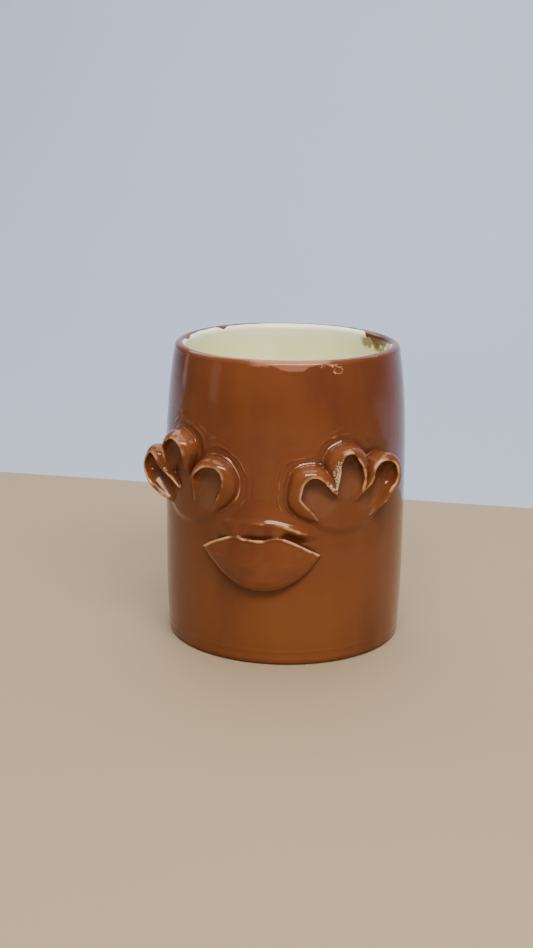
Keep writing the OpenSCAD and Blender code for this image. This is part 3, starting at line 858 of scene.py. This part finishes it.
AMBER_DARK = (0.126, 0.035, 0.0130)
AMBER = (0.162, 0.047, 0.0150)
AMBER_WARM = (0.205, 0.066, 0.0145)
AMBER_BREAK = (0.68, 0.36, 0.13)
AMBER_PINK = (0.60, 0.31, 0.18)
AMBER_POOL = (0.060, 0.014, 0.005)
AMBER_DULL = (0.180, 0.080, 0.042)
AMBER_DRY_GLINT = (0.60, 0.45, 0.29)
BLUSH_SHEEN = (0.40, 0.155, 0.085)
CREAM_SHADE = (0.88, 0.86, 0.50)
CREAM = (0.95, 0.93, 0.60)
CREAM_LIP_LIT = (0.96, 0.95, 0.73)
CREAM_SPECK = (0.42, 0.30, 0.16)
CREAM_STAIN = (0.17, 0.085, 0.03)
CLAY_SHADE = (0.40, 0.27, 0.155)
CLAY = (0.55, 0.41, 0.26)
CLAY_SPECK = (0.12, 0.07, 0.04)


def fired_brown(m, z, turn, cloud):
    """The brown of the open wall: clouded, streaked, and warmer low down in front, where the front's extra
    warmth is painted light.
    """
    colour = m.mix(m.ramp(cloud, 0.36, 0.66), AMBER_DARK, AMBER)
    warm = m.times(m.ramp(z, 44, 10, 0.0, 0.8), m.ramp(cloud, 0.30, 0.62, 0.45, 1.0))
    # painted light: the warm tone is strongest on the lit front and fades round the sides
    lit_front = m.ramp(m.away(turn, 0.15), 0.15, 1.1, 1.0, 0.15)
    colour = m.mix(m.times(warm, lit_front), colour, AMBER_WARM)
    streak = m.noise(95, 2, (1, 1, 0.06))
    return m.mix(m.ramp(streak, 0.45, 0.75, 0.0, 0.28), colour, AMBER_WARM)


def relief_colours(m, colour):
    """Dark in creases, dull in hollows, gold and pink on edges, with painted highlight lines on the welts
    and the ridge, and pale on one ridge from thin glaze and a painted highlight.
    """
    colour = m.mix(m.ramp(m.attribute("pool"), -0.03, -0.45, 0.0, 0.6), colour, AMBER_POOL)
    colour = m.mix(m.ramp(m.attribute("pool"), 0.12, 0.75, 0.0, 0.45), colour, AMBER_WARM)
    colour = m.mix(m.times(m.attribute("matt"), 0.4), colour, AMBER_DULL)
    patchy = m.ramp(m.noise(150, 2), 0.30, 0.62, 0.25, 1.3)
    # gold and pink where the glaze is thin on edges, and painted highlight lines on the welts and the ridge
    thin_and_highlit = m.ramp(m.times(m.attribute("edge"), patchy), 0.07, 0.25)
    colour = m.mix(thin_and_highlit, colour, m.mix(m.ramp(m.noise(90, 1), 0.42, 0.58), AMBER_BREAK, AMBER_PINK))
    # the pale speckled ridge: thin glaze, with a painted highlight
    grain = m.ramp(m.noise(1900, 2), 0.38, 0.60, -0.80, 0.25)
    dry_and_glint = m.ramp(m.math("ADD", m.attribute("dry_and_glint"), grain), 0.40, 0.70)
    return m.mix(dry_and_glint, colour, AMBER_DRY_GLINT)


def pink_sheen_band(m, z, turn):
    """A ragged band below the lip, in front: partly thin glaze, partly a painted highlight of the lip."""
    band = m.times(m.ramp(turn, -0.16, -0.04), m.ramp(turn, 0.60, 0.52))
    ragged = m.math("ADD", z, m.ramp(m.noise(75, 3, (1, 1, 0.4)), 0.3, 0.7, -1.2, 1.2))
    return m.times(band, m.ramp(ragged, 112.9, 113.5))


def blister_specks(m, z, turn):
    """The blister's broken ring, and the specks that trail from it towards the front."""
    across = m.times(m.math("SUBTRACT", turn, BLISTER[0]), LIP_C)
    up = m.math("SUBTRACT", z, BLISTER[1])
    wobble = m.times(m.math("SUBTRACT", m.noise(650, 2), 0.5), 3.2)
    off = m.math("ADD", m.length(across, up), wobble)
    ring = m.times(m.ramp(m.away(off, 1.2), 0.55, 0.15), m.ramp(m.noise(1300, 3), 0.42, 0.60))
    trail = m.times(m.ramp(m.away(up, 1.7), 0.7, 0.3), m.ramp(m.away(across, -3.4), 4.0, 2.6))
    trail = m.times(trail, m.ramp(m.noise(900, 4), 0.46, 0.62))
    return m.math("MAXIMUM", ring, trail)


def amber_glaze():
    m = Nodes("amber_glaze_fired")
    z = m.height_mm()
    turn = m.bearing()
    cloud = m.noise(28, 3, (1, 1, 0.55), 0.6)
    colour = relief_colours(m, fired_brown(m, z, turn, cloud))
    # the pale band below the lip: thin glaze with a painted highlight
    colour = m.mix(m.times(pink_sheen_band(m, z, turn), 0.75), colour, BLUSH_SHEEN)
    colour = m.mix(m.times(blister_specks(m, z, turn), 0.8), colour, AMBER_PINK)
    # darker along the foot: the thick glaze of the bead, and a painted contact shadow
    foot_bead_and_shadow = m.ramp(z, 1.7, 0.5, 0.0, 0.85)
    colour = m.mix(foot_bead_and_shadow, colour, AMBER_POOL)
    lip_line = m.times(m.ramp(m.radius_mm(), LIP_C - 0.1, LIP_C - 0.9), m.ramp(z, 108, 112, 0.0, 0.7))
    colour = m.mix(lip_line, colour, AMBER_POOL)
    colour = m.mix(m.ramp(m.noise(900, 1), 0.72, 0.78, 0.0, 0.15), colour, AMBER_POOL)
    m.link(colour, m.shader.inputs["Base Color"])
    dull = m.times(m.attribute("matt"), 0.24)
    m.link(m.math("ADD", m.ramp(cloud, 0.3, 0.7, 0.07, 0.13), dull), m.shader.inputs["Roughness"])
    m.shader.inputs["Specular Tint"].default_value = (1.0, 0.80, 0.68, 1.0)
    m.shader.inputs["IOR"].default_value = 1.46
    fine = m.noise(420, 3, (1, 1, 0.7))
    m.bump(m.math("ADD", m.noise(60, 2, (1, 1, 0.5)), m.times(fine, 0.05)), 0.00025, 0.5)
    return m.material


def cream_glaze():
    m = Nodes("cream_glaze_fired")
    z = m.height_mm()
    cloud = m.noise(40, 3, (1, 1, 0.5))
    colour = m.mix(m.ramp(cloud, 0.35, 0.68), CREAM_SHADE, CREAM)
    # painted light: the cream is paler towards the lip, where more light falls
    colour = m.mix(m.ramp(z, 106, 114.5), colour, CREAM_LIP_LIT)
    colour = m.mix(m.ramp(m.noise(700, 1), 0.73, 0.78, 0.0, 0.2), colour, CREAM_SPECK)
    stain = m.times(m.ramp(m.away(m.bearing(), STAIN), 0.30, 0.10), m.ramp(z, 106.5, 110.5))
    stain = m.ramp(m.times(stain, m.ramp(m.noise(260, 3), 0.30, 0.58)), 0.12, 0.60, 0.0, 0.85)
    colour = m.mix(stain, colour, CREAM_STAIN)
    m.link(colour, m.shader.inputs["Base Color"])
    m.link(m.ramp(cloud, 0.3, 0.7, 0.12, 0.2), m.shader.inputs["Roughness"])
    m.shader.inputs["IOR"].default_value = 1.5
    m.bump(m.noise(70, 2, (1, 1, 0.5)), 0.0002, 0.5)
    return m.material


def bare_clay():
    m = Nodes("bare_clay_fired")
    grit = m.noise(900, 4)
    cloud = m.noise(60, 3)
    colour = m.mix(m.ramp(cloud, 0.35, 0.65), CLAY_SHADE, CLAY)
    colour = m.mix(m.ramp(m.noise(1500, 1), 0.66, 0.74, 0.0, 0.7), colour, CLAY_SPECK)
    m.link(colour, m.shader.inputs["Base Color"])
    m.link(m.ramp(grit, 0.3, 0.7, 0.72, 0.92), m.shader.inputs["Roughness"])
    m.bump(grit, 0.0002, 0.8)
    return m.material


def plain(name, colour, roughness):
    """An almost even colour, for the floor and the backdrop."""
    m = Nodes(name)
    m.link(m.mix(m.noise(6, 2), [c * 0.97 for c in colour], colour), m.shader.inputs["Base Color"])
    m.shader.inputs["Roughness"].default_value = roughness
    return m.material


# ------------------------------ pieces in the frame

AMBER_MATERIAL = amber_glaze()


def settle(obj, slot, material, *nodes):
    """Gives a piece its material and hides the CAD nodes that it stands for."""
    obj.data.materials.append(material)
    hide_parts(*nodes)
    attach(obj, "root")


settle(make_clay(), "bare_stoneware", bare_clay(), "clay_body")
settle(make_liner(), "cream_glaze", cream_glaze(), "cream_glaze")
settle(make_coat(), "amber_glaze", AMBER_MATERIAL, "amber_glaze")
settle(make_eye("right_eye", RIGHT_PETALS, "right_eye_palm", 1), "amber_glaze", AMBER_MATERIAL,
       "right_eye_palm", "right_eye_inner_curl", "right_eye_middle_curl", "right_eye_outer_curl")
settle(make_eye("left_eye", LEFT_PETALS, "left_eye_palm", -1), "amber_glaze", AMBER_MATERIAL,
       "left_eye_palm", "left_eye_inner_curl", "left_eye_middle_curl", "left_eye_outer_curl")
settle(make_mouth("mouth"), "amber_glaze", AMBER_MATERIAL, "mouth_leaf", "lip_ridge")


# ------------------------------ floor, light and camera

def sweep(name, points, half_width, material):
    """A sheet swept along X from points (y, z) in metres."""
    mesh = bpy.data.meshes.new(name)
    verts = [(x, y, z) for y, z in points for x in (-half_width, half_width)]
    faces = [(2 * i, 2 * i + 1, 2 * i + 3, 2 * i + 2) for i in range(len(points) - 1)]
    mesh.from_pydata(verts, [], faces)
    mesh.polygons.foreach_set("use_smooth", [True] * len(faces))
    obj = bpy.data.objects.new(name, mesh)
    obj.data.materials.append(material)
    bpy.context.scene.collection.objects.link(obj)
    return obj


def area_light(name, place, aim, size, power, colour):
    light = bpy.data.lights.new(name, "AREA")
    light.shape = "RECTANGLE"
    light.size, light.size_y = size
    light.energy = power
    light.color = colour
    obj = bpy.data.objects.new(name, light)
    obj.location = place
    obj.rotation_euler = (Vector(aim) - Vector(place)).to_track_quat("-Z", "Y").to_euler()
    obj.visible_camera = False
    bpy.context.scene.collection.objects.link(obj)


def make_camera():
    """The photograph's viewpoint, worked out with the face turned away and then turned with it."""
    focal_mm = 58.39
    distance = 0.58421  # metres from the mug's axis
    height = 0.22112  # over its foot
    turn = math.radians(11)  # to the viewer's right of the face
    pitch, roll, yaw = 0.26591, 0.01213, -0.01278
    forward = Vector((math.sin(yaw) * math.cos(pitch), math.cos(yaw) * math.cos(pitch), -math.sin(pitch)))
    right = Vector((math.cos(yaw), -math.sin(yaw), 0))
    up = right.cross(forward)
    right, up = (math.cos(roll) * right + math.sin(roll) * up,
                 math.cos(roll) * up - math.sin(roll) * right)
    stand = Matrix((right, up, -forward)).transposed().to_4x4()
    stand.translation = (0, -distance, height)
    camera = bpy.data.cameras.new("camera")
    camera.lens = focal_mm
    camera.sensor_width = 36
    obj = bpy.data.objects.new("camera", camera)
    obj.matrix_world = Matrix.Rotation(turn, 4, "Z") @ stand
    bpy.context.scene.collection.objects.link(obj)
    bpy.context.scene.camera = obj


CLOTH = 0.19  # the backdrop lies on the floor from here on back
BEND = (0.55, 0.5)  # where it starts to rise, and the radius of its bend
BACK_END = (1.05, 2.2)
LIGHTS = [  # name, place, aim, size, watts, colour
    ("key", (0.23, -0.57, 0.79), (0, 0, 0.07), (0.75, 0.30), 13, (1.0, 0.965, 0.93)),
    ("top_soft", (0.0, 0.1, 1.2), (0, 0, 0.06), (0.9, 0.9), 8, (1.0, 0.99, 0.97)),
    ("left_streak", (-0.78, 0.22, 0.17), (0, 0, 0.09), (0.08, 0.30), 0.06, (1.0, 0.9, 0.85)),
    ("left_window", (-0.72, -0.40, 0.16), (0, 0, 0.09), (0.16, 0.24), 0.07, (1.0, 0.95, 0.9)),
    ("rear_soft", (-0.65, 0.75, 0.95), (0, 0, 0.06), (0.8, 0.5), 3, (1.0, 0.98, 0.95)),
    ("back_cloth", (0.1, 0.7, 0.9), (0, 1.0, 0.4), (1.2, 0.5), 7, (0.92, 0.95, 1.0)),
]


def make_stage():
    """A pale floor, and a backdrop that bends up behind it."""
    start, radius = BEND
    bend = [(start + radius * math.sin(a), radius - radius * math.cos(a))
            for a in np.linspace(0, math.pi / 2, 24)]
    sweep("floor", [(-1.6, 0.0), (CLOTH, 0.0)], 2.0, plain("pale_floor", (0.38, 0.275, 0.165), 0.75))
    sweep("backdrop", [(CLOTH, 0.0)] + bend + [BACK_END], 2.0,
          plain("pale_backdrop", (0.44, 0.50, 0.62), 0.9))


def make_sky():
    """A dim room with a bright ceiling."""
    world = bpy.data.worlds.new("studio")
    world.use_nodes = True
    tree = world.node_tree
    split = tree.nodes.new("ShaderNodeSeparateXYZ")
    tree.links.new(tree.nodes.new("ShaderNodeTexCoord").outputs["Generated"], split.inputs[0])
    rise = tree.nodes.new("ShaderNodeMapRange")
    for key, value in (("From Min", 0.15), ("From Max", 0.85), ("To Min", 0.22), ("To Max", 0.40)):
        rise.inputs[key].default_value = value
    tree.links.new(split.outputs["Z"], rise.inputs["Value"])
    background = tree.nodes["Background"]
    background.inputs["Color"].default_value = (0.70, 0.71, 0.74, 1)
    tree.links.new(rise.outputs["Result"], background.inputs["Strength"])
    bpy.context.scene.world = world


make_stage()
for light in LIGHTS:
    area_light(*light)
make_sky()
make_camera()

bpy.context.view_layer.update()
